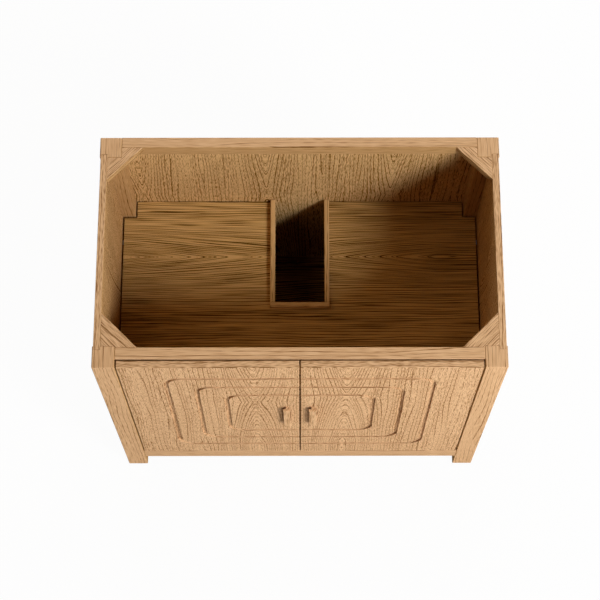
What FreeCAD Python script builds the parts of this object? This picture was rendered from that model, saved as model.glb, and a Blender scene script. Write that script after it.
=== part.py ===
"""Oak vanity base unit: leg-and-rail carcass, notched shelf and two inset doors on concealed hinges."""
import FreeCAD
import Part
import Sketcher
import os
import re

# Every driving size in millimetres, one sheet cell each
SIZES = {
    # Whole unit
    "width": 914,
    "depth": 552,
    "height": 876,
    # Legs, and the panels let into them
    "leg_side": 50,
    "leg_ease": 1.2,
    "board_ease": 0.8,
    "wood_fit": 0.15,
    "housing_depth": 8,
    "side_thickness": 16,
    "side_inset": 2,
    "back_panel_thickness": 9,
    "back_panel_inset": 0.5,
    "tongue_depth": 6,
    # Rails, tenoned into the legs
    "foot_clearance": 79,
    "bottom_rail_height": 54,
    "bottom_front_rail_thickness": 20,
    "back_rail_thickness": 25,
    "top_front_rail_thickness": 27,
    "top_front_rail_height": 50,
    "top_back_rail_height": 38,
    "tenon_length": 20,
    "tenon_thickness": 9,
    "tenon_shoulder": 10,
    # Bottom panel on its cleats
    "bottom_thickness": 16,
    "bottom_gap": 0.5,
    "cleat_side": 20,
    # Shelf on its pins, with the pipe cut-out and its edging
    "shelf_height": 520,
    "shelf_thickness": 16,
    "shelf_gap": 3.5,
    "shelf_back_gap": 0.8,
    "shelf_setback": 10,
    "cutout_width": 121,
    "cutout_depth": 270,
    "edging_thickness": 12,
    "edging_height": 12,
    "peg_radius": 2.5,
    "peg_length": 10,
    "peg_root": 3,
    "peg_margin": 60,
    "spade_length": 15,
    "spade_width": 12,
    "spade_thickness": 2.5,
    # Corner blocks
    "block_leg": 80,
    "block_thickness": 20,
    # Doors and their routed grooves
    "door_thickness": 17,
    "door_gap": 3,
    "door_top_gap": 2,
    "door_ease": 1,
    "rail_clearance": 3,
    "groove_width": 10.5,
    "groove_depth": 5,
    "groove_step": 66,
    "groove_corner": 40,
    "groove_side_margin": 101.2,
    "groove_top_margin": 86,
    "groove_bottom_margin": 78,
    # Pulls
    "handle_inset": 29,
    "handle_bottom": 426,
    "handle_length": 134,
    "handle_bar_width": 19,
    "handle_bar_depth": 6,
    "handle_bar_round": 2.5,
    "handle_neck_width": 7,
    "handle_neck_depth": 6.5,
    "handle_screw_margin": 27,
    "handle_screw_bite": 8,
    # Hinges: pivot place in the door, then arm, housing and pin
    "hinge_margin": 100,
    "hinge_clearance": 0.6,
    "pivot_in": 8,
    "pivot_back": 6.5,
    "pin_radius": 2,
    "pin_running_fit": 0.05,
    "eye_radius": 3.5,
    "arm_width": 14,
    "arm_thickness": 3.5,
    "arm_bend": 1,
    "plate_thickness": 2.5,
    "plate_height": 44,
    "plate_margin": 4,
    "ear_play": 0.2,
    "ear_thickness": 2,
    "sheet_thickness": 1.5,
    "housing_height": 24,
    "flange_length": 30,
    "flange_height": 40,
    # Screws of the pulls, and rubber bumpers
    "screw_radius": 2,
    "screw_fit": 0.05,
    "screw_head_radius": 3.4,
    "screw_crown_radius": 2.2,
    "screw_head_thickness": 1.6,
    "bumper_radius": 4,
    "bumper_play": 0.3,
    "bumper_margin": 60,
}
GROOVES = 3
TOUCH = 1e-4

# Planes that several pieces share, worked out from the driving sizes
HANDLE_REACH = "(handle_neck_depth + handle_bar_depth)"
FRONT = f"(({HANDLE_REACH} - depth) / 2)"
BACK = f"({FRONT} + depth)"
FRONT_LEG_BACK = f"({FRONT} + leg_side)"
BACK_LEG_FRONT = f"({BACK} - leg_side)"
LEG_FACE = "(width / 2 - leg_side)"
SIDE_FACE = "(width / 2 - side_inset - side_thickness)"
RAIL_FRONT = f"({FRONT} + door_thickness + rail_clearance)"
TOP_RAIL_BACK = f"({RAIL_FRONT} + top_front_rail_thickness)"
BACK_RAIL_FACE = f"({BACK} - back_rail_thickness)"
BACK_PANEL_FACE = f"({BACK} - back_panel_inset - back_panel_thickness)"
FLOOR_TOP = "(foot_clearance + bottom_rail_height)"
SHELF_FRONT = f"({FRONT_LEG_BACK} + shelf_setback)"
SHELF_BACK = f"({BACK_PANEL_FACE} - shelf_back_gap)"
SHELF_UNDER = "(shelf_height - shelf_thickness)"
DOOR_EDGE = f"({LEG_FACE} - door_gap)"
DOOR_WIDTH = f"({DOOR_EDGE} - door_gap / 2)"
DOOR_BACK = f"({FRONT} + door_thickness)"
DOOR_BOTTOM = f"({FLOOR_TOP} + door_gap)"
DOOR_TOP = "(height - door_top_gap)"
HANDLE_X = "(door_gap / 2 + handle_inset)"
SCREW_GRIP = "(door_thickness + handle_screw_bite)"
PIVOT_X = f"({DOOR_EDGE} - pivot_in)"
PIVOT_Y = f"({FRONT} + pivot_back)"

SIDES = {"left": -1, "right": 1}
HINGES = {"upper": f"({DOOR_TOP} - hinge_margin)", "lower": f"({DOOR_BOTTOM} + hinge_margin)"}
# Each rail: the legs it joins, its low Y, its low Z, its thickness and its height
RAILS = {
    "top_front_rail": ("front", RAIL_FRONT, "height - top_front_rail_height",
                       "top_front_rail_thickness", "top_front_rail_height"),
    "bottom_front_rail": ("front", FRONT, "foot_clearance",
                          "bottom_front_rail_thickness", "bottom_rail_height"),
    "top_back_rail": ("back", BACK_RAIL_FACE, "height - top_back_rail_height",
                      "back_rail_thickness", "top_back_rail_height"),
    "bottom_back_rail": ("back", BACK_RAIL_FACE, "foot_clearance",
                         "back_rail_thickness", "bottom_rail_height"),
}
# Turns that lay a cylinder, which stands along Z, along another axis
TURNS = {
    "x": FreeCAD.Rotation(FreeCAD.Vector(0, 0, 1), FreeCAD.Vector(1, 0, 0)),
    "y": FreeCAD.Rotation(FreeCAD.Vector(0, 0, 1), FreeCAD.Vector(0, 1, 0)),
    "z": FreeCAD.Rotation(),
}

doc = FreeCAD.newDocument("VanityUnit")
sheet = doc.addObject("Spreadsheet::Sheet", "sizes")
subparts = []
corners = {}


def fill_sheet():
    """Write each driving size to its own cell, with the name as alias."""
    for row, (name, size) in enumerate(SIZES.items(), 1):
        sheet.set(f"A{row}", name)
        sheet.set(f"B{row}", str(size))
        sheet.setAlias(f"B{row}", name)
    doc.recompute()


def cell(text):
    """Point every size name in an expression at its sheet cell."""
    functions = ("sqrt",)

    def pointed(word):
        name = word.group()
        return name if name in functions else "sizes." + name

    return re.sub(r"[a-z_]{2,}", pointed, text)


def value(text):
    """The number that an expression gives."""
    return float(sheet.evalExpression(cell(text)))


def place(item, spot):
    """Bind an object's position to three expressions."""
    for axis, text in zip("xyz", spot):
        item.setExpression("Placement.Base." + axis, cell(text))


def span_x(side, inner, length):
    """Low X of a span that starts inner out from the middle, on the left or on the right."""
    return inner if side > 0 else f"-({inner}) - ({length})"


def grown(corner, size, clearance):
    """A box grown by a clearance on every side."""
    return [f"{low} - {clearance}" for low in corner], [f"{length} + 2 * {clearance}" for length in size]


def new_body(label, corner):
    """A body with its own placement, whose features are given in the unit's frame."""
    body = doc.addObject("PartDesign::Body", label)
    body.Label = label
    place(body, corner)
    corners[body.Name] = corner
    subparts.append(body)
    return body


def local(body, spot, axes="xyz"):
    """A place in the unit's frame, as a body sees it."""
    own = dict(zip("xyz", corners[body.Name]))
    return [f"({text}) - ({own[axis]})" for axis, text in zip(axes, spot)]


def add_box(body, kind, corner, size):
    """An additive or subtractive box."""
    box = body.newObject(f"PartDesign::{kind}Box", kind)
    for name, text in zip(("Length", "Width", "Height"), size):
        box.setExpression(name, cell(text))
    place(box, local(body, corner))
    return box


def add_rod(body, kind, axis, base, radius, length):
    """An additive or subtractive cylinder along one axis."""
    rod = body.newObject(f"PartDesign::{kind}Cylinder", kind)
    rod.Placement = FreeCAD.Placement(FreeCAD.Vector(), TURNS[axis])
    rod.setExpression("Radius", cell(radius))
    rod.setExpression("Height", cell(length))
    place(rod, local(body, base))
    return rod


def finish_edges(body, kind, base, edges, size):
    """A fillet or chamfer on named edges of a feature."""
    finish = body.newObject(f"PartDesign::{kind}", kind)
    finish.Base = (base, edges)
    finish.setExpression("Radius" if kind == "Fillet" else "Size", cell(size))
    return finish


def edges_along(feature, axis, spots):
    """Names of a feature's edges that run along one axis through the given spots."""
    doc.recompute()
    across = [name for name in "xyz" if name != axis]
    found = []
    for number, edge in enumerate(feature.Shape.Edges, 1):
        ends = [vertex.Point for vertex in edge.Vertexes]
        for spot in spots:
            misses = [abs(getattr(end, name) - at) for end in ends for name, at in zip(across, spot)]
            if max(misses) < TOUCH:
                found.append(f"Edge{number}")
    return found


def board(label, corner, size, ease="board_ease"):
    """A squared board with eased edges."""
    body = new_body(label, corner)
    blank = add_box(body, "Additive", corner, size)
    finish_edges(body, "Chamfer", blank, ["Edge1"], ease).UseAllEdges = True
    return body


def outlined(body, plane, points):
    """A sketch on one of the body's planes, its corners bound to expressions."""
    sketch = body.newObject("Sketcher::SketchObject", "Outline")
    role = plane.upper() + "_Plane"
    origin_plane = next(item for item in body.Origin.OriginFeatures if item.Role == role)
    sketch.AttachmentSupport = [(origin_plane, "")]
    sketch.MapMode = "FlatFace"
    for outline in points:
        draw_outline(sketch, [local(body, point, plane) for point in outline])
    return sketch


def draw_outline(sketch, points):
    """A closed run of lines through the given corners."""
    spots = [FreeCAD.Vector(value(across), value(along), 0) for across, along in points]
    first = len(sketch.Geometry)
    count = len(points)
    for index in range(count):
        sketch.addGeometry(Part.LineSegment(spots[index], spots[(index + 1) % count]), False)
    for index in range(count):
        following = first + (index + 1) % count
        sketch.addConstraint(Sketcher.Constraint("Coincident", first + index, 2, following, 1))
    for index, corner in enumerate(points):
        for kind, text in zip(("DistanceX", "DistanceY"), corner):
            lock = sketch.addConstraint(Sketcher.Constraint(kind, first + index, 1, value(text)))
            sketch.setExpression(f"Constraints[{lock}]", cell(text))


def padded(body, points, length, centred=False):
    """A pad along Z of an outline drawn in plan."""
    pad = body.newObject("PartDesign::Pad", "Pad")
    pad.Profile = outlined(body, "xy", [points])
    pad.setExpression("Length", cell(length))
    pad.SideType = "Symmetric" if centred else "One side"
    return pad


def plain(kind, name, spot, turn="z", **sizes):
    """A plain Part primitive with every size bound to an expression."""
    item = doc.addObject(f"Part::{kind}", name)
    item.Placement = FreeCAD.Placement(FreeCAD.Vector(), TURNS[turn])
    for prop, text in sizes.items():
        item.setExpression(prop, cell(text))
    place(item, spot)
    return item


def fused(name, items):
    """One solid made of several primitives."""
    item = doc.addObject("Part::MultiFuse", name)
    item.Shapes = items
    return item


def group(label, items):
    """A node of like solids."""
    item = doc.addObject("Part::Compound", label)
    item.Label = label
    item.Links = items
    subparts.append(item)


def screw(seat):
    """A pan-head screw along Y, with its head on the seat and its shank in front of it."""
    tip = [seat[0], f"{seat[1]} - {SCREW_GRIP}", seat[2]]
    shank = plain("Cylinder", "shank", tip, "y", Radius="screw_radius", Height=SCREW_GRIP)
    head = plain("Cone", "head", seat, "y", Radius1="screw_head_radius", Radius2="screw_crown_radius",
                 Height="screw_head_thickness")
    return fused("screw", [shank, head])


def drill(body, seat):
    """The hole that a screw's shank takes in a body."""
    depth = f"({SCREW_GRIP} + screw_fit)"
    tip = [seat[0], f"{seat[1]} - {depth}", seat[2]]
    add_rod(body, "Subtractive", "y", tip, "screw_radius + screw_fit", depth)


def side_panel_box(side):
    """Corner and size of a side panel, which runs into the grooves of both its legs."""
    low_x = span_x(side, SIDE_FACE, "side_thickness")
    corner = [low_x, f"{FRONT_LEG_BACK} - housing_depth", "foot_clearance"]
    size = ["side_thickness", "depth - 2 * leg_side + 2 * housing_depth", "height - foot_clearance"]
    return corner, size


def back_panel_box():
    """Corner and size of the back panel, tongues included."""
    corner = [f"-{LEG_FACE} - housing_depth", BACK_PANEL_FACE, f"{FLOOR_TOP} - tongue_depth"]
    tall = f"height - top_back_rail_height - {FLOOR_TOP} + 2 * tongue_depth"
    size = [f"2 * {LEG_FACE} + 2 * housing_depth", "back_panel_thickness", tall]
    return corner, size


def tenon_box(rail, side):
    """Corner and size of the tenon at one end of a rail."""
    end, low_y, low_z, thickness, tall = RAILS[rail]
    corner = [span_x(side, LEG_FACE, "tenon_length"),
              f"{low_y} + ({thickness} - tenon_thickness) / 2", f"{low_z} + tenon_shoulder"]
    return corner, ["tenon_length", "tenon_thickness", f"{tall} - 2 * tenon_shoulder"]


def handle_screws(side):
    """Seats of the screws that hold a pull, driven from the back of its door."""
    heights = ["handle_bottom + handle_screw_margin", "handle_bottom + handle_length - handle_screw_margin"]
    return [[f"{side} * {HANDLE_X}", DOOR_BACK, tall] for tall in heights]


def shelf_peg_spots():
    """How far back the shelf pins stand."""
    return [f"({SHELF_FRONT} + peg_margin)", f"({BACK_LEG_FRONT} - shelf_gap - peg_margin)"]


def shelf_peg(side, spot):
    """The round peg of a shelf pin: its base and length, along X."""
    base = [span_x(side, f"({SIDE_FACE} - peg_root)", "(peg_root + peg_length)"), spot,
            f"{SHELF_UNDER} - peg_radius"]
    return base, "(peg_root + peg_length)"


def make_leg(end, name, side):
    """A corner leg with its mortises and its panel housings."""
    low_y = FRONT if end == "front" else BACK_LEG_FRONT
    corner = [span_x(side, LEG_FACE, "leg_side"), low_y, "0"]
    leg = board(f"{end}_{name}_leg", corner, ["leg_side", "leg_side", "height"], "leg_ease")
    add_box(leg, "Subtractive", *grown(*side_panel_box(side), "wood_fit"))
    for rail, row in RAILS.items():
        if row[0] == end:
            add_box(leg, "Subtractive", *grown(*tenon_box(rail, side), "wood_fit"))
    if end == "back":
        add_box(leg, "Subtractive", *grown(*back_panel_box(), "wood_fit"))


def make_rail(rail):
    """A rail with a tenon at each end, and the groove for the back panel where it meets it."""
    end, low_y, low_z, thickness, tall = RAILS[rail]
    body = board(rail, [f"-{LEG_FACE}", low_y, low_z], [f"2 * {LEG_FACE}", thickness, tall])
    for side in SIDES.values():
        add_box(body, "Additive", *tenon_box(rail, side))
    if end == "back":
        add_box(body, "Subtractive", *grown(*back_panel_box(), "wood_fit"))


def make_side_panel(name, side):
    """A side panel with its shelf pin holes."""
    panel = board(f"{name}_side_panel", *side_panel_box(side))
    for spot in shelf_peg_spots():
        base, length = shelf_peg(side, spot)
        loose = [span_x(side, f"({SIDE_FACE} - peg_root)", f"({length} + wood_fit)"), base[1], base[2]]
        add_rod(panel, "Subtractive", "x", loose, "peg_radius + wood_fit", f"{length} + wood_fit")


def make_cleat(name, side):
    """A batten that carries one end of the bottom panel."""
    corner = [span_x(side, f"({SIDE_FACE} - cleat_side)", "cleat_side"), FRONT_LEG_BACK,
              f"{FLOOR_TOP} - bottom_thickness - cleat_side"]
    board(f"{name}_bottom_cleat", corner, ["cleat_side", "depth - 2 * leg_side", "cleat_side"])


def make_bottom():
    """The bottom panel, notched round the four legs."""
    low_y = f"({FRONT} + bottom_front_rail_thickness)"
    half = f"({SIDE_FACE} - bottom_gap)"
    low_z = f"{FLOOR_TOP} - bottom_thickness"
    leg_size = ["leg_side", "leg_side", "bottom_thickness"]
    panel = board("bottom_panel", [f"-{half}", low_y, low_z],
                  [f"2 * {half}", f"{BACK_RAIL_FACE} - {low_y}", "bottom_thickness"])
    for side in SIDES.values():
        for leg_y in (FRONT, BACK_LEG_FRONT):
            corner = [span_x(side, LEG_FACE, "leg_side"), leg_y, low_z]
            add_box(panel, "Subtractive", *grown(corner, leg_size, "bottom_gap"))


def make_shelf():
    """The shelf, notched round the back legs and cut out for the pipes."""
    half = f"({SIDE_FACE} - shelf_gap)"
    leg_size = ["leg_side", "leg_side", "shelf_thickness"]
    shelf = board("shelf", [f"-{half}", SHELF_FRONT, SHELF_UNDER],
                  [f"2 * {half}", f"{SHELF_BACK} - {SHELF_FRONT}", "shelf_thickness"])
    for side in SIDES.values():
        corner = [span_x(side, LEG_FACE, "leg_side"), BACK_LEG_FRONT, SHELF_UNDER]
        add_box(shelf, "Subtractive", *grown(corner, leg_size, "shelf_gap"))
    add_box(shelf, "Subtractive", ["-cutout_width / 2", f"{SHELF_BACK} - cutout_depth", SHELF_UNDER],
            ["cutout_width", "cutout_depth", "shelf_thickness"])


def make_edging():
    """The three strips that stand on the shelf round the cut-out."""
    low_y = f"({SHELF_BACK} - cutout_depth)"
    for name, side in SIDES.items():
        low_x = span_x(side, "cutout_width / 2", "edging_thickness")
        board(f"shelf_edging_{name}", [low_x, low_y, "shelf_height"],
              ["edging_thickness", "cutout_depth", "edging_height"])
    low_x = "-cutout_width / 2 - edging_thickness"
    board("shelf_edging_front", [low_x, f"{low_y} - edging_thickness", "shelf_height"],
          ["cutout_width + 2 * edging_thickness", "edging_thickness", "edging_height"])


def make_shelf_pins():
    """Four spade pins that carry the shelf."""
    pins = []
    for side in SIDES.values():
        for spot in shelf_peg_spots():
            base, length = shelf_peg(side, spot)
            peg = plain("Cylinder", "peg", base, "x", Radius="peg_radius", Height=length)
            corner = [span_x(side, f"({SIDE_FACE} - spade_length)", "spade_length"),
                      f"{spot} - spade_width / 2", f"{SHELF_UNDER} - spade_thickness"]
            spade = plain("Box", "spade", corner, Length="spade_length", Width="spade_width",
                          Height="spade_thickness")
            pins.append(fused("shelf_pin", [peg, spade]))
    group("shelf_pins", pins)


def make_corner_block(end, name, side):
    """A triangular block that braces the top corner, cut round the leg."""
    away = 1 if end == "front" else -1
    leg_y = FRONT_LEG_BACK if end == "front" else BACK_LEG_FRONT
    rail_y = TOP_RAIL_BACK if end == "front" else BACK_RAIL_FACE
    points = [(f"{side} * {SIDE_FACE}", f"{rail_y} + {away} * block_leg"),
              (f"{side} * {SIDE_FACE}", leg_y),
              (f"{side} * {LEG_FACE}", leg_y),
              (f"{side} * {LEG_FACE}", rail_y),
              (f"{side} * ({SIDE_FACE} - block_leg)", rail_y)]
    corner = [f"{side} * {SIDE_FACE}", rail_y, "height - block_thickness"]
    block = new_body(f"{end}_{name}_corner_block", corner)
    pad = padded(block, points, "block_thickness")
    doc.recompute()
    slanted = []
    for number, edge in enumerate(pad.Shape.Edges, 1):
        run = edge.Vertexes[-1].Point - edge.Vertexes[0].Point
        if abs(run.x) > TOUCH and abs(run.y) > TOUCH:
            slanted.append(f"Edge{number}")
    finish_edges(block, "Chamfer", pad, slanted, "board_ease")


def groove_outline(side, ring):
    """One half of a nested rounded rectangle, as wide as the cutter, that runs out at the meeting edge."""
    reach = f"({DOOR_EDGE} - groove_side_margin - {ring} * groove_step)"
    top = f"({DOOR_TOP} - groove_top_margin - {ring} * groove_step)"
    bottom = f"({DOOR_BOTTOM} + groove_bottom_margin + {ring} * groove_step)"
    half = "groove_width / 2"
    outer = [(f"{side} * ({reach} + {half})", f"{top} + {half}"),
             (f"{side} * ({reach} + {half})", f"{bottom} - {half}")]
    inner = [(f"{side} * ({reach} - {half})", f"{bottom} + {half}"),
             (f"{side} * ({reach} - {half})", f"{top} - {half}")]
    loop = [("0", outer[0][1]), *outer, ("0", outer[1][1]), ("0", inner[0][1]), *inner, ("0", inner[1][1])]
    return outer, inner, loop


def hinge_notch(side, level):
    """The corner notch in a door's back that takes one hinge."""
    inner = "(pivot_in + eye_radius + hinge_clearance + sheet_thickness)"
    front = f"({PIVOT_Y} - eye_radius - hinge_clearance)"
    corner = [span_x(side, f"({DOOR_EDGE} - {inner})", inner), front, f"{level} - housing_height / 2"]
    return corner, [inner, f"({DOOR_BACK} - {front})", "housing_height"]


def make_door(name, side):
    """A door slab with its routed grooves, hinge notches and screw holes."""
    corner = [span_x(side, "door_gap / 2", DOOR_WIDTH), FRONT, DOOR_BOTTOM]
    size = [DOOR_WIDTH, "door_thickness", f"{DOOR_TOP} - {DOOR_BOTTOM}"]
    door = board(f"{name}_door", corner, size, "door_ease")
    rings = [groove_outline(side, ring) for ring in range(GROOVES)]
    groove = door.newObject("PartDesign::Pocket", "Grooves")
    groove.Profile = outlined(door, "xz", [loop for outer, inner, loop in rings])
    groove.setExpression("Length", cell("groove_depth"))
    bends = [[local(door, point, "xz") for ring in rings for point in ring[row]] for row in (0, 1)]
    spots = [[(value(across), value(tall)) for across, tall in row] for row in bends]
    rounded = finish_edges(door, "Fillet", groove, edges_along(groove, "y", spots[0]),
                           "groove_corner + groove_width / 2")
    finish_edges(door, "Fillet", rounded, edges_along(rounded, "y", spots[1]),
                 "groove_corner - groove_width / 2")
    for level in HINGES.values():
        add_box(door, "Subtractive", *grown(*hinge_notch(side, level), "wood_fit"))
    for seat in handle_screws(side):
        drill(door, seat)


def make_handle(name, side):
    """A wooden pull of T section: a wide bar on a narrow neck."""
    middle = f"{side} * {HANDLE_X}"
    neck, bar = "handle_neck_width / 2", "handle_bar_width / 2"
    bar_back = f"{FRONT} - handle_neck_depth"
    bar_front = f"{FRONT} - {HANDLE_REACH}"
    half = [(neck, FRONT), (neck, bar_back), (bar, bar_back), (bar, bar_front)]
    points = [(f"{middle} + {across}", along) for across, along in half]
    points += [(f"{middle} - {across}", along) for across, along in reversed(half)]
    handle = new_body(f"{name}_handle", [middle, FRONT, "handle_bottom"])
    pad = padded(handle, points, "handle_length")
    reach = -value(HANDLE_REACH)
    width = value(bar)
    edges = edges_along(pad, "z", [(-width, reach), (width, reach)])
    edges += edges_along(pad, "x", [(reach, 0), (reach, value("handle_length"))])
    finish_edges(handle, "Fillet", pad, edges, "handle_bar_round")
    for seat in handle_screws(side):
        drill(handle, seat)


def make_hinge_arm(name, side, level):
    """A cranked arm: an eye inside the door, a bent strip round its edge and a plate on the leg."""
    height = HINGES[level]
    inward = -side
    half = "arm_thickness / 2"
    reach = f"(sqrt(pivot_in ^ 2 + (door_thickness - pivot_back) ^ 2) + hinge_clearance + {half})"
    pivot = f"{side} * {PIVOT_X}"
    leg = f"{side} * {LEG_FACE}"
    arm = new_body(f"{level}_{name}_hinge_arm", [pivot, PIVOT_Y, height])
    near, far = f"{PIVOT_Y} + {reach} - {half}", f"{PIVOT_Y} + {reach} + {half}"
    inner, outer = f"{pivot} + {inward} * {half}", f"{pivot} - {inward} * {half}"
    points = [(inner, PIVOT_Y), (inner, far), (leg, far), (leg, near), (outer, near), (outer, PIVOT_Y)]
    strip = padded(arm, points, "arm_width", centred=True)
    across = value(half) * inward
    bend_edges = edges_along(strip, "z", [(across, value(f"{reach} + {half}"))])
    bent = finish_edges(arm, "Fillet", strip, bend_edges, "arm_bend + arm_thickness")
    bend_edges = edges_along(bent, "z", [(-across, value(f"{reach} - {half}"))])
    finish_edges(arm, "Fillet", bent, bend_edges, "arm_bend")
    low = f"{height} - arm_width / 2"
    add_rod(arm, "Additive", "z", [pivot, PIVOT_Y, low], "eye_radius", "arm_width")
    add_box(arm, "Additive", [span_x(side, f"({LEG_FACE} - plate_thickness)", "plate_thickness"), near,
                              f"{height} - plate_height / 2"],
            ["plate_thickness", f"{FRONT_LEG_BACK} - plate_margin - ({near})", "plate_height"])
    add_rod(arm, "Subtractive", "z", [pivot, PIVOT_Y, low], "pin_radius + pin_running_fit", "arm_width")


def make_hinge_housing(name, side, level):
    """A bent bracket in the door's notch: two ears for the pin, a web and a flange on the door's back."""
    height = HINGES[level]
    pivot = f"{side} * {PIVOT_X}"
    web = f"({PIVOT_X} - eye_radius - hinge_clearance - sheet_thickness)"
    front = f"({PIVOT_Y} - eye_radius)"
    flange_back = f"({DOOR_BACK} + sheet_thickness)"
    housing = new_body(f"{level}_{name}_hinge_housing", [pivot, PIVOT_Y, height])
    web_x = span_x(side, web, "sheet_thickness")
    add_box(housing, "Additive", [web_x, front, f"{height} - housing_height / 2"],
            ["sheet_thickness", f"{flange_back} - {front}", "housing_height"])
    flange_x = span_x(side, f"({web} + sheet_thickness - flange_length)", "flange_length")
    add_box(housing, "Additive", [flange_x, DOOR_BACK, f"{height} - flange_height / 2"],
            ["flange_length", "sheet_thickness", "flange_height"])
    ear_length = "(2 * eye_radius + hinge_clearance + sheet_thickness)"
    ear_gap = "(arm_width / 2 + ear_play)"
    for low in (f"{height} + {ear_gap}", f"{height} - {ear_gap} - ear_thickness"):
        add_box(housing, "Additive", [span_x(side, web, ear_length), front, low],
                [ear_length, f"{DOOR_BACK} - {front}", "ear_thickness"])
    add_rod(housing, "Subtractive", "z", [pivot, PIVOT_Y, f"{height} - housing_height / 2"], "pin_radius",
            "housing_height")


def make_hinge_pin(name, side, level):
    """A pin pressed through both ears, on which the arm's eye turns."""
    spot = [f"{side} * {PIVOT_X}", PIVOT_Y]
    outside = "(arm_width / 2 + ear_play + ear_thickness)"
    height = HINGES[level]
    pin = new_body(f"{level}_{name}_hinge_pin", [*spot, height])
    add_rod(pin, "Additive", "z", [*spot, f"{height} - {outside}"], "pin_radius", f"2 * {outside}")


def make_bumpers():
    """Rubber discs on the top front rail that the closed doors rest against."""
    thickness = "(rail_clearance - bumper_play)"
    low_z = "height - top_front_rail_height / 2"
    discs = []
    for side in SIDES.values():
        for across in ("bumper_margin", f"({DOOR_EDGE} - bumper_margin)"):
            spot = [f"{side} * {across}", f"{RAIL_FRONT} - {thickness}", low_z]
            discs.append(plain("Cylinder", "bumper", spot, "y", Radius="bumper_radius", Height=thickness))
    group("door_bumpers", discs)


def make_carcass():
    """Everything that stands still: legs, rails, panels, shelf and their fixings."""
    for name, side in SIDES.items():
        for end in ("front", "back"):
            make_leg(end, name, side)
            make_corner_block(end, name, side)
        make_side_panel(name, side)
        make_cleat(name, side)
    for rail in RAILS:
        make_rail(rail)
    board("back_panel", *back_panel_box())
    make_bottom()
    make_shelf()
    make_edging()
    make_shelf_pins()
    make_bumpers()


def make_doors():
    """Both doors, each with its pull, the pull's screws and its hinges."""
    for name, side in SIDES.items():
        make_door(name, side)
        make_handle(name, side)
        for level in HINGES:
            make_hinge_arm(name, side, level)
            make_hinge_housing(name, side, level)
            make_hinge_pin(name, side, level)
        group(f"{name}_handle_screws", [screw(seat) for seat in handle_screws(side)])


def check_and_write():
    """Stop if anything failed to build, then write one file for each sub-part."""
    doc.recompute()
    for item in doc.Objects:
        if "Invalid" in item.State or "Error" in item.State:
            raise RuntimeError(f"{item.Name} failed: {item.State}")
    os.makedirs("parts", exist_ok=True)
    for item in subparts:
        if item.Shape.isNull() or not item.Shape.isValid():
            raise RuntimeError(f"{item.Label} has no valid shape")
        item.Shape.exportStep(f"parts/{item.Label}.step")
    print(len(subparts), "sub-parts written")


fill_sheet()
make_carcass()
make_doors()
check_and_write()
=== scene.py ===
"""Looks of the oak vanity base unit: oak veneer and solid oak, zinc-plated hinges, rubber bumpers."""

import math

import bpy
from mathutils import Matrix, Vector


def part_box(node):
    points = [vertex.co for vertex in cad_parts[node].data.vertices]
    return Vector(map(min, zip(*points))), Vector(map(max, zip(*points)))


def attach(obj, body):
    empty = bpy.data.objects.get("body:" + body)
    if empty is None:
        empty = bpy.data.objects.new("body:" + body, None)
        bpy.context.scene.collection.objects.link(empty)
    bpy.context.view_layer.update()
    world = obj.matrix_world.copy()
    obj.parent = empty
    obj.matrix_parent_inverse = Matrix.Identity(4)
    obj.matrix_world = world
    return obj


MM = 0.001

# Camera, in metres and degrees, for a square picture
CAMERA_PLACE = (0.0004, -1.35075, 4.4144)
CAMERA_TILT = 19.277
CAMERA_ROLL = -0.082
LENS_MM = 101.38
SENSOR_MM = 36.0

# Lamps, each a disc that looks at one point from a side and a height in degrees, some metres away
LAMP_AIM = Vector((0.0, 0.0, 0.6))
LAMPS = {
    "key_lamp": {"side": 47, "height": 38, "away": 5.0, "across": 1.55, "watts": 203, "tint": "#FFFFFF"},
    "front_fill": {"side": 31, "height": 7, "away": 7.0, "across": 6.5, "watts": 345, "tint": "#FFFFFF"},
    "back_fill": {"side": 180, "height": 22, "away": 4.5, "across": 3.0, "watts": 168, "tint": "#FFFFFF"},
    "left_back_fill": {"side": 225, "height": 35, "away": 4.5, "across": 3.0, "watts": 21, "tint": "#FFDDB0"},
    "high_left_fill": {"side": 270, "height": 60, "away": 4.5, "across": 3.0, "watts": 18, "tint": "#FFDDB0"},
}

# Floor, in metres, and background
FLOOR_SIZE = 12.0
FLOOR_COLOUR = "#D8D8D8"
BACKGROUND_WHITE = "#FFFFFF"
FLOOR_GLOW = 0.96

# Pan-head screws of the hinges, in millimetres and degrees
SCREW_HEAD = 7.0
SCREW_RISE = 2.2
SCREW_ROUND = 1.0
ROUND_STEPS = 4
HEAD_SIDES = 32
SMOOTH_ANGLE = 35.0
RECESS_LONG = 4.2
RECESS_WIDE = 0.9
RECESS_DEEP = 1.1
RECESS_TURNS = (0, 90)

# Where these screws stand on the hinge plates and flanges, in millimetres
PLATE_THICKNESS = 2.5
PLATE_INSET = 8.0
PLATE_SPREAD = 14.0
FLANGE_INSET = 8.0
FLANGE_SPREAD = 12.0

# Edges of the boards, sanded round, in millimetres and degrees
EASED_EDGE = 0.8
EASED_STEPS = 2
SHARP_ANGLE = 40.0
JOIN_WITHIN = 0.01
EASED_ENDINGS = ("leg", "rail", "side_panel", "block", "door")    # of the names of boards

# Zinc plate and rubber, with the sizes of their blotches in millimetres
ZINC_GREY = "#B9BCC0"
ZINC_PALE = "#D3D5D7"
ZINC_BLOTCH = 6.0
ZINC_DETAIL = 3.0
ZINC_SMOOTH = 0.28
ZINC_DULL = 0.42
RUBBER_DARK = "#5A5450"
RUBBER_GREY = "#6E6762"
RUBBER_MOTTLE = 2.0
RUBBER_DETAIL = 2.0
RUBBER_ROUGH = 0.8

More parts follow.
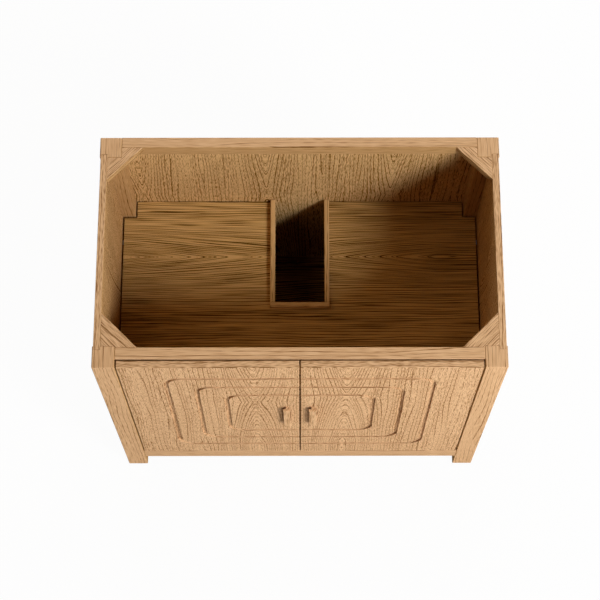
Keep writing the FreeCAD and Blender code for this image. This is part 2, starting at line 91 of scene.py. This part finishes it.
# Oak shades from the pale late wood to the dark open pores
FACE_SHADES = {0.0: "#DAB38A", 0.5: "#C0976D", 1.0: "#805A36"}      # outside
# The shelf shades are partly painted shade: darker and more golden, with little blue, as the shelf lies in
# the shade of the unit; the darkest is the open pores
SHELF_SHADES = {0.0: "#D3AA6E", 0.5: "#BB9356", 1.0: "#523508"}     # shelf and bottom
# The inner shades are painted shade: darker and more golden, as the inside of the unit looks in shade
INNER_PAINTED_SHADES = {0.0: "#C8A06F", 0.5: "#B08857", 1.0: "#6C471C"}     # inner faces of the frame and the doors
# The back shades are paler, partly painted light where the lamps fall on the back and on the raised edging
BACK_SHADES = {0.0: "#DAB27D", 0.5: "#C49C66", 1.0: "#75501E"}      # back, edging and cleats

# Oak surface: a dull oil without a shine, and pores that are rougher and a little sunk, in millimetres
OIL_GLOSS = 0.0
WOOD_ROUGH = 0.6
PORE_ROUGH = 0.8
PORE_DENT = 0.2
PORE_DEPTH = 0.2

# Figure of each kind of board, in millimetres
PLAIN_FIGURE = {
    "heart": 0.0,       # where the arches stand; far off the board it leaves straight rings
    "leaf": 2000.0,     # how far the next arches stand beside them
    "middle": 450.0,    # where the arches turn round
    "rise": 0.0,        # how much they spread for each millimetre away from there
    "step": 10.0,       # the way from ring to ring
    "tip": 5.0,         # how round an arch is
    "pore": 30.0,       # how long the rows of pores are
    "bold": 1.0,        # how strongly the figure shows
}
STRAIGHT_FIGURE = {**PLAIN_FIGURE, "heart": 900.0, "bold": 0.6}
BLOCK_FIGURE = {**STRAIGHT_FIGURE, "bold": 1.4}
HANDLE_FIGURE = {**PLAIN_FIGURE, "heart": 300.0}
SIDE_FIGURE = {**PLAIN_FIGURE, "heart": 40.0, "middle": 500.0, "rise": 0.19, "pore": 14.0}
LEFT_DOOR_FIGURE = {**SIDE_FIGURE, "heart": -105.0, "middle": 600.0, "bold": 1.2}
RIGHT_DOOR_FIGURE = {**LEFT_DOOR_FIGURE, "heart": 107.0, "middle": 640.0}
BACK_FIGURE = {**PLAIN_FIGURE, "heart": -81.0, "leaf": 303.0, "middle": 560.0, "rise": 0.11, "pore": 14.0,
               "bold": 1.55}
SHELF_FIGURE = {**PLAIN_FIGURE, "heart": 124.0, "middle": -66.0, "rise": 0.13, "step": 6.5, "tip": 2.5,
                "pore": 110.0, "bold": 1.75}
BLOCK_TURN = math.radians(45)

# Oak rings, in millimetres across and along the fibres
RING_HALF = 1.15            # half the width of a ring's line
HEART_WIDENING = 0.45       # share by which it widens at the heart
UNEVEN = 2.4                # ring steps by which the spacing strays
UNEVEN_WIDTH = 28.0
SWAY = 6.0
SWAY_WIDTH = 120.0
SWAY_LENGTH = 350.0
SWAY_DETAIL = 2.0
ARCH_REACH = 110.0          # how far beside the heart the rings arch
ARCH_LENGTH = 400.0         # how far from the middle they go on spreading
LEAST_GRADE = 0.2           # least steepness of the flow, so that the tips of the arches show

# Oak pores and tones, in millimetres across and along the fibres
PORE_WIDTH = 0.7            # wider than real pores, which are too fine to show in the picture
SIDE_CHANGE = 70.0
TONE_WIDTH = 30.0
TONE_LENGTH = 500.0
TONE_DETAIL = 1.0

# How much each part of the figure darkens the wood
RING_DARK = 1.75
HEART_RING_DARK = 0.2
PORE_DARK = 1.9
TONE_DARK = 0.4
MEAN_DARK = 0.28
LEAST_DASH = 0.3            # share of a ring's line that is left between open pores
FAINT_RING = 0.35           # strength of the faintest rings
BOLD_RING = 1.5             # strength of the boldest rings

# Levels of noise between which the trunk sways, the pores open and the rings grow bold
SWAY_LEVELS = (0.2, 0.8)
PORE_LEVELS = (0.4, 0.65)
RING_LEVELS = (0.35, 0.65)

# Least share of a face's direction that makes it look up or down, or inward
LOOKS_UP_OR_DOWN = 0.7
LOOKS_INWARD = 0.5

# The way to the back of the unit
BACKWARD = (0, 1, 0)


def linear(hex_colour):
    """An sRGB hex colour as linear red, green, blue and alpha."""
    values = [int(hex_colour[place:place + 2], 16) / 255 for place in (1, 3, 5)]
    return [v / 12.92 if v <= 0.04045 else ((v + 0.055) / 1.055) ** 2.4 for v in values] + [1.0]


def add(tree, kind, settings, inputs, output=0):
    """Adds one node, sets it, sets or links its inputs, and gives back one of its outputs."""
    node = tree.nodes.new(kind)
    for name, value in settings.items():
        setattr(node, name, value)
    for name, value in inputs.items():
        if isinstance(value, bpy.types.NodeSocket):
            tree.links.new(value, node.inputs[name])
        else:
            node.inputs[name].default_value = value
    return node.outputs[output]


def new_material(name):
    """An empty node material and its principled shader."""
    material = bpy.data.materials.new(name)
    material.use_nodes = True
    return material, material.node_tree, material.node_tree.nodes["Principled BSDF"]


def board_axes(tree, grain, cap, turn, rise):
    """Ways along the fibres, across the face and through the board, and how much the arches spread."""
    place = add(tree, "ShaderNodeTexCoord", {}, {}, "Object")
    sized = add(tree, "ShaderNodeMapping", {},
                {"Vector": place, "Rotation": (0, 0, turn), "Scale": (1 / MM, 1 / MM, 1 / MM)})
    split = add(tree, "ShaderNodeSeparateXYZ", {}, {"Vector": sized}).node
    axes = [split.outputs[axis] for axis in grain]
    if not cap:
        return axes, rise
    facing = add(tree, "ShaderNodeTexCoord", {}, {}, "Normal")
    height = add(tree, "ShaderNodeSeparateXYZ", {}, {"Vector": facing}, "Z")
    steep = add(tree, "ShaderNodeMath", {"operation": "ABSOLUTE"}, {0: height})
    up = add(tree, "ShaderNodeMath", {"operation": "GREATER_THAN"}, {0: steep, 1: LOOKS_UP_OR_DOWN})
    capped = [
        add(tree, "ShaderNodeMix", {"data_type": "FLOAT"}, {0: up, 2: face, 3: split.outputs[axis]})
        for face, axis in zip(axes, cap)
    ]
    return capped, add(tree, "ShaderNodeMix", {"data_type": "FLOAT"}, {0: up, 2: rise, 3: 0.0})


def slow_sway(tree, axes):
    """How far the rings stray, because the trunk wanders slowly and its arches differ."""
    along, across, through = axes
    board = add(tree, "ShaderNodeCombineXYZ", {}, {"X": across, "Y": through, "Z": along})
    slow = add(tree, "ShaderNodeMapping", {},
               {"Vector": board, "Scale": (1 / SWAY_WIDTH, 1 / SWAY_WIDTH, 1 / SWAY_LENGTH)})
    wander = add(tree, "ShaderNodeTexNoise", {}, {"Vector": slow, "Scale": 1.0, "Detail": SWAY_DETAIL}, "Fac")
    low, high = SWAY_LEVELS
    return add(tree, "ShaderNodeMapRange", {},
               {"Value": wander, "From Min": low, "From Max": high, "To Min": -SWAY, "To Max": SWAY})


def ring_flow(tree, axes, slope, figure):
    """A flow that is the same all along one ring, how near the heart is, and how steep the flow is."""
    along, across, through = axes
    offset = add(tree, "ShaderNodeMath", {"operation": "SUBTRACT"}, {0: across, 1: figure["heart"]})
    inside = add(tree, "ShaderNodeMath", {"operation": "PINGPONG"}, {0: offset, 1: figure["leaf"] / 2})
    heartwood = add(tree, "ShaderNodeMapRange", {"interpolation_type": "SMOOTHSTEP"},
                    {"Value": inside, "From Min": 0.0, "From Max": ARCH_REACH, "To Min": 1.0, "To Max": 0.0})
    from_tip = add(tree, "ShaderNodeCombineXYZ", {}, {"X": inside, "Y": figure["tip"]})
    rounded = add(tree, "ShaderNodeVectorMath", {"operation": "LENGTH"}, {0: from_tip}, "Value")

    # Away from the middle the arches climb round the heart of each leaf
    from_middle = add(tree, "ShaderNodeMath", {"operation": "SUBTRACT"}, {0: along, 1: figure["middle"]})
    far = add(tree, "ShaderNodeMath", {"operation": "ABSOLUTE"}, {0: from_middle})
    near = add(tree, "ShaderNodeMath", {"operation": "MINIMUM"}, {0: far, 1: ARCH_LENGTH})
    spread = add(tree, "ShaderNodeMath", {"operation": "MULTIPLY"}, {0: heartwood, 1: slope})
    climb = add(tree, "ShaderNodeMath", {"operation": "MULTIPLY"}, {0: near, 1: spread})
    arch = add(tree, "ShaderNodeMath", {"operation": "SUBTRACT"}, {0: rounded, 1: climb})
    swayed = add(tree, "ShaderNodeMath", {"operation": "ADD"}, {0: arch, 1: slow_sway(tree, axes)})
    flow = add(tree, "ShaderNodeMath", {"operation": "ADD"}, {0: swayed, 1: through})

    # At the tip of an arch the flow is flat
    side_grade = add(tree, "ShaderNodeMath", {"operation": "DIVIDE"}, {0: inside, 1: rounded})
    grade = add(tree, "ShaderNodeMath", {"operation": "MAXIMUM"}, {0: side_grade, 1: LEAST_GRADE})
    return flow, heartwood, grade


def year_rings(tree, flow, heartwood, grade, uneven, step):
    """Thin lines in even flow, unevenly spaced, wider at the heart and drawn thinner where it is flat."""
    steps = add(tree, "ShaderNodeMath", {"operation": "DIVIDE"}, {0: flow, 1: step})
    count = add(tree, "ShaderNodeMath", {"operation": "MULTIPLY_ADD"}, {0: uneven, 1: UNEVEN, 2: steps})
    nearest = add(tree, "ShaderNodeMath", {"operation": "PINGPONG"}, {0: count, 1: 0.5})
    half_ring = add(tree, "ShaderNodeMapRange", {},
                    {"Value": heartwood, "To Min": RING_HALF / step,
                     "To Max": RING_HALF / step * (1 + HEART_WIDENING)})
    half_line = add(tree, "ShaderNodeMath", {"operation": "MULTIPLY"}, {0: grade, 1: half_ring})
    ring = add(tree, "ShaderNodeMapRange", {"interpolation_type": "SMOOTHSTEP"},
               {"Value": nearest, "From Min": 0.0, "From Max": half_line, "To Min": 1.0, "To Max": 0.0})
    low, high = RING_LEVELS
    strength = add(tree, "ShaderNodeMapRange", {},
                   {"Value": uneven, "From Min": low, "From Max": high,
                    "To Min": FAINT_RING, "To Max": BOLD_RING})
    return add(tree, "ShaderNodeMath", {"operation": "MULTIPLY"}, {0: ring, 1: strength})


def oak_colour(tree, dark, shades, inward):
    """The shade for each darkness; on faces that look inward, the darker, more golden inner shades, which are
    painted shade.
    """
    colours = []
    for tones in (shades, INNER_PAINTED_SHADES) if inward else (shades,):
        colours.append(add(tree, "ShaderNodeValToRGB", {}, {"Fac": dark}, "Color"))
        ramp = colours[-1].node.color_ramp
        while len(ramp.elements) < len(tones):
            ramp.elements.new(0.5)
        for element, (position, tone_hex) in zip(ramp.elements, tones.items()):
            element.position = position
            element.color = linear(tone_hex)
    if not inward:
        return colours[0]
    # Faces that look inward take the inner shades: painted shade, where shade falls inside the unit
    facing = add(tree, "ShaderNodeTexCoord", {}, {}, "Normal")
    facing_in = add(tree, "ShaderNodeVectorMath", {"operation": "DOT_PRODUCT"},
                    {0: facing, 1: inward}, "Value")
    painted_shade_side = add(tree, "ShaderNodeMath", {"operation": "GREATER_THAN"}, {0: facing_in, 1: LOOKS_INWARD})
    return add(tree, "ShaderNodeMix", {"data_type": "RGBA"}, {0: painted_shade_side, 6: colours[0], 7: colours[1]}, 2)


def oak(name, grain, shades, figure, cap=None, inward=None, turn=0.0):
    """Flat-sawn oak under a dull oil: thin dark rings that run along the fibres and arch at the heart.

    grain names the axes along the fibres, across the face and through the board, after a turn about the
    upright, and cap names them for the faces that look up or down, which are banded another way. Faces
    that look inward take the darker, more golden inner shades, which are painted shade.
    """
    material, tree, shader = new_material(name)
    axes, slope = board_axes(tree, grain, cap, turn, figure["rise"])
    flow, heartwood, grade = ring_flow(tree, axes, slope, figure)

    # Pores, change of tone and uneven spacing of the rings, each a noise drawn out along the fibres
    fibre = add(tree, "ShaderNodeCombineXYZ", {}, {"X": flow, "Y": axes[1], "Z": axes[0]})
    noises = []
    for width, length, detail in ((PORE_WIDTH, figure["pore"], 0.0), (TONE_WIDTH, TONE_LENGTH, TONE_DETAIL),
                                  (UNEVEN_WIDTH, TONE_LENGTH, 0.0)):
        drawn = add(tree, "ShaderNodeMapping", {},
                    {"Vector": fibre, "Scale": (1 / width, 1 / SIDE_CHANGE, 1 / length)})
        noise = add(tree, "ShaderNodeTexNoise", {}, {"Vector": drawn, "Scale": 1.0, "Detail": detail}, "Fac")
        noises.append(noise)
    pores, tone, uneven = noises
    shut, open_wide = PORE_LEVELS
    open_pore = add(tree, "ShaderNodeMapRange", {"interpolation_type": "SMOOTHSTEP"},
                    {"Value": pores, "From Min": shut, "From Max": open_wide})

    # Year rings, broken into dashes by the pores
    year = year_rings(tree, flow, heartwood, grade, uneven, figure["step"])
    dash = add(tree, "ShaderNodeMapRange", {}, {"Value": open_pore, "To Min": LEAST_DASH, "To Max": 1.0})
    dashed = add(tree, "ShaderNodeMath", {"operation": "MULTIPLY"}, {0: year, 1: dash})
    heart_ring = add(tree, "ShaderNodeMath", {"operation": "MULTIPLY"}, {0: dashed, 1: heartwood})

    # They add up to one darkness, which picks the shade
    bold = figure["bold"]
    dark = MEAN_DARK - bold * (PORE_DARK + TONE_DARK) / 2
    for part, share in ((dashed, RING_DARK), (heart_ring, HEART_RING_DARK), (pores, PORE_DARK),
                        (tone, TONE_DARK)):
        dark = add(tree, "ShaderNodeMath", {"operation": "MULTIPLY_ADD"}, {0: part, 1: bold * share, 2: dark})
    rough = add(tree, "ShaderNodeMapRange", {},
                {"Value": open_pore, "To Min": WOOD_ROUGH, "To Max": PORE_ROUGH})
    dent = add(tree, "ShaderNodeBump", {"invert": True},
               {"Strength": PORE_DENT, "Distance": PORE_DEPTH * MM, "Height": open_pore}, "Normal")
    tree.links.new(oak_colour(tree, dark, shades, inward), shader.inputs["Base Color"])
    tree.links.new(rough, shader.inputs["Roughness"])
    tree.links.new(dent, shader.inputs["Normal"])
    shader.inputs["Specular IOR Level"].default_value = OIL_GLOSS
    return material


def zinc_plate():
    """Pressed steel with a bright zinc plate: grey, a little blotchy, with soft reflections."""
    material, tree, shader = new_material("zinc_plated_steel")
    place = add(tree, "ShaderNodeTexCoord", {}, {}, "Object")
    blotch = add(tree, "ShaderNodeTexNoise", {},
                 {"Vector": place, "Scale": 1 / (ZINC_BLOTCH * MM), "Detail": ZINC_DETAIL}, "Fac")
    colour = add(tree, "ShaderNodeMix", {"data_type": "RGBA"},
                 {0: blotch, 6: linear(ZINC_GREY), 7: linear(ZINC_PALE)}, 2)
    rough = add(tree, "ShaderNodeMapRange", {}, {"Value": blotch, "To Min": ZINC_SMOOTH, "To Max": ZINC_DULL})
    tree.links.new(colour, shader.inputs["Base Color"])
    tree.links.new(rough, shader.inputs["Roughness"])
    shader.inputs["Metallic"].default_value = 1.0
    return material


def moulded_rubber():
    """Moulded natural rubber: a soft warm grey, matt, with a faint mottle."""
    material, tree, shader = new_material("moulded_rubber")
    place = add(tree, "ShaderNodeTexCoord", {}, {}, "Object")
    mottle = add(tree, "ShaderNodeTexNoise", {},
                 {"Vector": place, "Scale": 1 / (RUBBER_MOTTLE * MM), "Detail": RUBBER_DETAIL}, "Fac")
    colour = add(tree, "ShaderNodeMix", {"data_type": "RGBA"},
                 {0: mottle, 6: linear(RUBBER_DARK), 7: linear(RUBBER_GREY)}, 2)
    tree.links.new(colour, shader.inputs["Base Color"])
    shader.inputs["Roughness"].default_value = RUBBER_ROUGH
    return material


def looked_at(tree):
    """One where a ray looks at the surface, straight, in a mirror or through glass, and otherwise nothing."""
    rays = add(tree, "ShaderNodeLightPath", {}, {}).node
    seen = rays.outputs["Is Camera Ray"]
    for kind in ("Is Glossy Ray", "Is Transmission Ray"):
        seen = add(tree, "ShaderNodeMath", {"operation": "MAXIMUM"}, {0: seen, 1: rays.outputs[kind]})
    return seen


def floor_paint():
    """Matt pale paint that glows white to the eye, so that only a faint shadow is left on it."""
    material, tree, shader = new_material("matt_floor_paint")
    shader.inputs["Base Color"].default_value = linear(FLOOR_COLOUR)
    shader.inputs["Roughness"].default_value = 1.0
    shader.inputs["Specular IOR Level"].default_value = 0.0
    glow = add(tree, "ShaderNodeEmission", {}, {"Color": linear(BACKGROUND_WHITE), "Strength": 1.0})
    share = add(tree, "ShaderNodeMath", {"operation": "MULTIPLY"}, {0: looked_at(tree), 1: FLOOR_GLOW})
    mixed = add(tree, "ShaderNodeMixShader", {}, {0: share, 1: shader.outputs["BSDF"], 2: glow})
    tree.links.new(mixed, tree.nodes["Material Output"].inputs["Surface"])
    return material


def dress(material, *nodes):
    """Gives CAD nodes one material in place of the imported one."""
    for node in nodes:
        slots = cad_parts[node].data.materials
        slots.clear()
        slots.append(material)


def ease_edges(*nodes):
    """Rounds the sharp edges of boards a little, as sanding does, so that joints show as fine lines."""
    for node in nodes:
        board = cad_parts[node]
        joined = board.modifiers.new("joined", "WELD")
        joined.merge_threshold = JOIN_WITHIN * MM
        eased = board.modifiers.new("eased", "BEVEL")
        eased.limit_method = "ANGLE"
        eased.angle_limit = math.radians(SHARP_ANGLE)
        eased.width = EASED_EDGE * MM
        eased.segments = EASED_STEPS


def cut_cross(head):
    """Cuts the cross recess into a screw head and leaves the head selected."""
    for turn in RECESS_TURNS:
        bpy.ops.mesh.primitive_cube_add(
            size=1, location=(0, 0, SCREW_RISE * MM), rotation=(0, 0, math.radians(turn)))
        bar = bpy.context.object
        bar.scale = (RECESS_LONG * MM, RECESS_WIDE * MM, 2 * RECESS_DEEP * MM)
        bpy.ops.object.transform_apply()
        cut = head.modifiers.new("recess", "BOOLEAN")
        cut.object = bar
        cut.solver = "EXACT"
        bpy.ops.object.select_all(action="DESELECT")
        bpy.context.view_layer.objects.active = head
        head.select_set(True)
        bpy.ops.object.modifier_apply(modifier="recess")
        bpy.data.objects.remove(bar)


def screw_head():
    """One pan head with a cross recess, standing on the origin and looking up."""
    bpy.ops.object.select_all(action="DESELECT")
    bpy.ops.mesh.primitive_cylinder_add(
        vertices=HEAD_SIDES, radius=SCREW_HEAD / 2 * MM, depth=SCREW_RISE * MM,
        location=(0, 0, SCREW_RISE / 2 * MM))
    head = bpy.context.object
    head.name = "screw_pattern"
    bpy.ops.object.transform_apply()
    bpy.ops.object.mode_set(mode="EDIT")
    bpy.ops.mesh.select_all(action="DESELECT")
    bpy.ops.object.mode_set(mode="OBJECT")
    for edge in head.data.edges:
        edge.select = all(head.data.vertices[v].co.z > SCREW_RISE / 2 * MM for v in edge.vertices)
    bpy.ops.object.mode_set(mode="EDIT")
    bpy.ops.mesh.select_mode(type="EDGE")
    bpy.ops.mesh.bevel(offset=SCREW_ROUND * MM, segments=ROUND_STEPS, affect="EDGES")
    bpy.ops.object.mode_set(mode="OBJECT")
    cut_cross(head)
    bpy.ops.object.shade_smooth_by_angle(angle=math.radians(SMOOTH_ANGLE))
    return head


def set_screw(pattern, material, name, seat, outward, body):
    """Copies the screw head onto a seat, looking outward, and lets it move with a body."""
    copy = bpy.data.objects.new(name, pattern.data.copy())
    bpy.context.scene.collection.objects.link(copy)
    turn = Vector(outward).to_track_quat("Z", "Y").to_matrix().to_4x4()
    copy.data.transform(Matrix.Translation(seat) @ turn)
    copy.data.materials.append(material)
    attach(copy, body)


def screw_hinge(pattern, material, level, side, inward):
    """Sets two screws on the plate of a hinge, on the leg, and two on its flange, on the door."""
    hinge = f"{level}_{side}_hinge"
    arm_low, arm_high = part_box(f"{hinge}_arm")
    cup_low, cup_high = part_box(f"{hinge}_housing")
    leg_low, leg_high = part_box(f"front_{side}_leg")
    middle_height = (arm_low.z + arm_high.z) / 2
    plate_face = (leg_high.x if inward > 0 else leg_low.x) + inward * PLATE_THICKNESS * MM
    flange_end = cup_high.x if inward > 0 else cup_low.x
    for end, way in (("top", 1), ("bottom", -1)):
        plate_seat = Vector((plate_face, arm_high.y - PLATE_INSET * MM,
                             middle_height + way * PLATE_SPREAD * MM))
        flange_seat = Vector((flange_end - inward * FLANGE_INSET * MM, cup_high.y,
                              middle_height + way * FLANGE_SPREAD * MM))
        set_screw(pattern, material, f"{hinge}_plate_{end}_screw", plate_seat, (inward, 0, 0), "carcass")
        set_screw(pattern, material, f"{hinge}_flange_{end}_screw", flange_seat, BACKWARD, f"{side}_door")


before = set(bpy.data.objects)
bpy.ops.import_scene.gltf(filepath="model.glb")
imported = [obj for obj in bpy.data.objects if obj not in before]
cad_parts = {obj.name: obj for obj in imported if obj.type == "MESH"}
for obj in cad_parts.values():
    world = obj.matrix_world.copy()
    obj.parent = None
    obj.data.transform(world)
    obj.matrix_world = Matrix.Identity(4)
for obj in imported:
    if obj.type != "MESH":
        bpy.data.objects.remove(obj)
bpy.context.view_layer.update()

# Metal and rubber pieces
zinc = zinc_plate()
plated = [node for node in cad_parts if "hinge" in node or "screws" in node]
dress(zinc, *plated, "shelf_pins")
dress(moulded_rubber(), "door_bumpers")

# Doors and handles
# The backs of the doors look inward and take the inner shades, which are painted shade
for side, figure in (("left", LEFT_DOOR_FIGURE), ("right", RIGHT_DOOR_FIGURE)):
    door = oak(f"oak_{side}_door", "ZXY", FACE_SHADES, figure, cap="XYZ", inward=BACKWARD)
    dress(door, f"{side}_door")
dress(oak("oak_handles", "ZXY", FACE_SHADES, HANDLE_FIGURE), "left_handle", "right_handle")

# Legs, side panels, rails and corner blocks
# Faces that look inward take the inner shades, which are painted shade
for end, back in (("front", 0), ("back", -1)):
    for side, inward in (("left", 1), ("right", -1)):
        leg = oak(f"oak_{end}_{side}_leg", "ZXY", FACE_SHADES, STRAIGHT_FIGURE, cap="YXZ",
                  inward=(inward, back, 0))
        dress(leg, f"{end}_{side}_leg")
for side, inward in (("left", 1), ("right", -1)):
    panel = oak(f"oak_{side}_side_panel", "ZYX", FACE_SHADES, SIDE_FIGURE, cap="YXZ", inward=(inward, 0, 0))
    dress(panel, f"{side}_side_panel")
for end, inward in (("front", 1), ("back", -1)):
    rail = oak(f"oak_{end}_rails", "XYZ", FACE_SHADES, STRAIGHT_FIGURE, inward=(0, inward, 0))
    dress(rail, f"top_{end}_rail", f"bottom_{end}_rail")
for end, back in (("front", 1), ("back", -1)):
    for side, inward in (("left", 1), ("right", -1)):
        block = oak(f"oak_{end}_{side}_block", "XYZ", FACE_SHADES, BLOCK_FIGURE, inward=(inward, back, 0),
                    turn=BLOCK_TURN * inward * back)
        dress(block, f"{end}_{side}_corner_block")

# Boards of the inside: the shelf and bottom in darker, more golden shades, partly painted shade, and the back
# in paler ones, partly painted light
dress(oak("oak_back_panel", "ZXY", BACK_SHADES, BACK_FIGURE), "back_panel")
dress(oak("oak_shelf", "XYZ", SHELF_SHADES, SHELF_FIGURE), "shelf", "bottom_panel")

# Solid strips round the cut-out and below the bottom
# Their paler back shades are partly painted light, where the lamps catch the raised strips
dress(oak("oak_front_edging", "XYZ", BACK_SHADES, STRAIGHT_FIGURE), "shelf_edging_front")
dress(oak("oak_side_edging", "YXZ", BACK_SHADES, STRAIGHT_FIGURE),
      "shelf_edging_left", "shelf_edging_right", "left_bottom_cleat", "right_bottom_cleat")

# Sanded edges
boards = [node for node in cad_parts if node.endswith(EASED_ENDINGS)]
ease_edges(*boards, "shelf", "shelf_edging_front", "shelf_edging_left", "shelf_edging_right")

# Screws of the hinge plates and flanges
screw_pattern = screw_head()
for level in ("upper", "lower"):
    for side, inward in (("left", 1), ("right", -1)):
        screw_hinge(screw_pattern, zinc, level, side, inward)
bpy.data.objects.remove(screw_pattern)

# Floor
bpy.ops.object.select_all(action="DESELECT")
bpy.ops.mesh.primitive_plane_add(size=FLOOR_SIZE)
floor = bpy.context.object
floor.name = "floor"
floor.data.materials.append(floor_paint())

# World: white where it is looked at, and no light of its own on the wood
world = bpy.data.worlds.new("white_backdrop")
world.use_nodes = True
bpy.context.scene.world = world
sky = world.node_tree
sky.nodes["Background"].inputs["Color"].default_value = linear(BACKGROUND_WHITE)
sky.links.new(looked_at(sky), sky.nodes["Background"].inputs["Strength"])

# Lamps
for name, lamp in LAMPS.items():
    side = math.radians(lamp["side"])
    height = math.radians(lamp["height"])
    way = Vector((math.sin(side) * math.cos(height), -math.cos(side) * math.cos(height), math.sin(height)))
    light = bpy.data.lights.new(name, "AREA")
    light.shape = "DISK"
    light.size = lamp["across"]
    light.energy = lamp["watts"]
    light.color = linear(lamp["tint"])[:3]
    stand = bpy.data.objects.new(name, light)
    stand.location = LAMP_AIM + way * lamp["away"]
    stand.rotation_euler = way.to_track_quat("Z", "Y").to_euler()
    bpy.context.scene.collection.objects.link(stand)

# Camera
camera_data = bpy.data.cameras.new("camera")
camera_data.lens = LENS_MM
camera_data.sensor_width = SENSOR_MM
camera = bpy.data.objects.new("camera", camera_data)
tilt = Matrix.Rotation(math.radians(CAMERA_TILT), 4, "X")
roll = Matrix.Rotation(math.radians(CAMERA_ROLL), 4, "Z")
camera.matrix_world = Matrix.Translation(CAMERA_PLACE) @ tilt @ roll
bpy.context.scene.collection.objects.link(camera)
bpy.context.scene.camera = camera
bpy.context.scene.view_settings.view_transform = "Standard"
